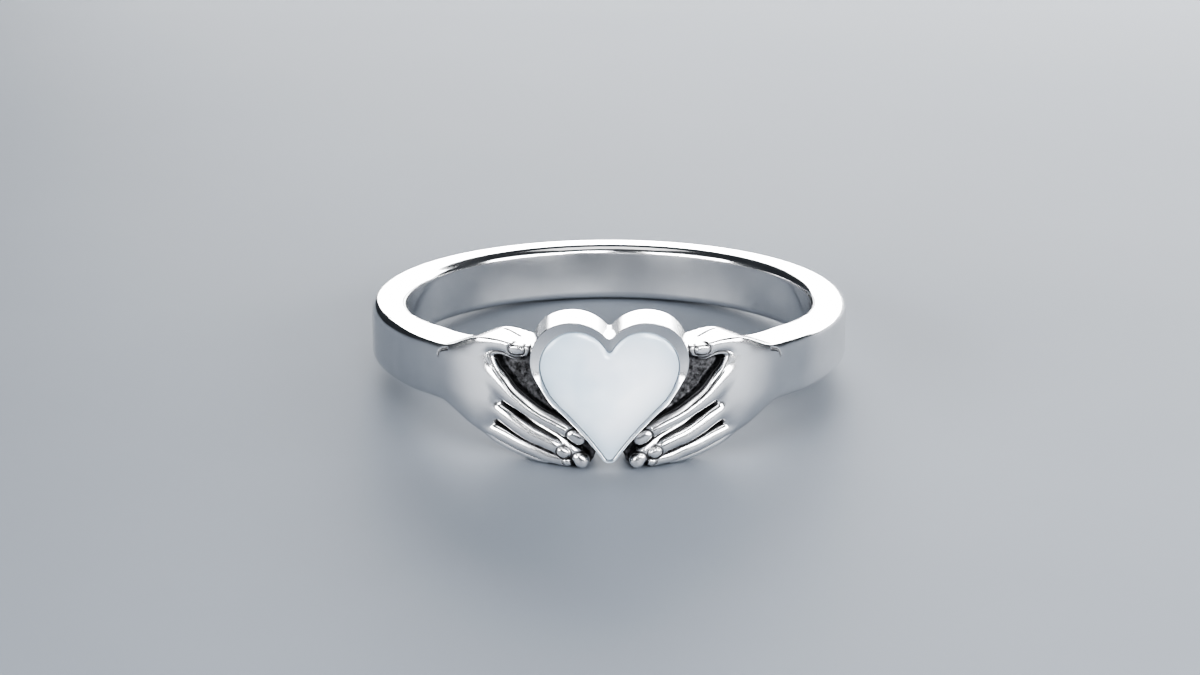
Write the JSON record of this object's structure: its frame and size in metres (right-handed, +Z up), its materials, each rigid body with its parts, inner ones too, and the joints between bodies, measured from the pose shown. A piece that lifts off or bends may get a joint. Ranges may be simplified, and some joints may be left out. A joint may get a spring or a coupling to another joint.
{
  "type": "claddagh ring",
  "caption": "Claddagh finger ring: cast hands hold a heart-shaped stone in a raised cup at the front of a plain rounded band.",
  "frame": {"origin": "middle of the underside of the ring's box as it lies at rest, on the surface that it lies on", "axes": "+Z up, -Y towards the heart at the front, +X to the heart's right as seen from the front; the finger opening leans back about 6 degrees from +Z towards +Y"},
  "size_m": [0.0202, 0.0218, 0.0066],
  "materials": {
    "silver": "polished sterling silver, darkened in the recesses",
    "stone": "polished milky stone with a soft blue-grey sheen"
  },
  "bodies": {
    "root": {"ring_casting": "silver", "heart_stone": "stone"}
  },
  "joints": []
}
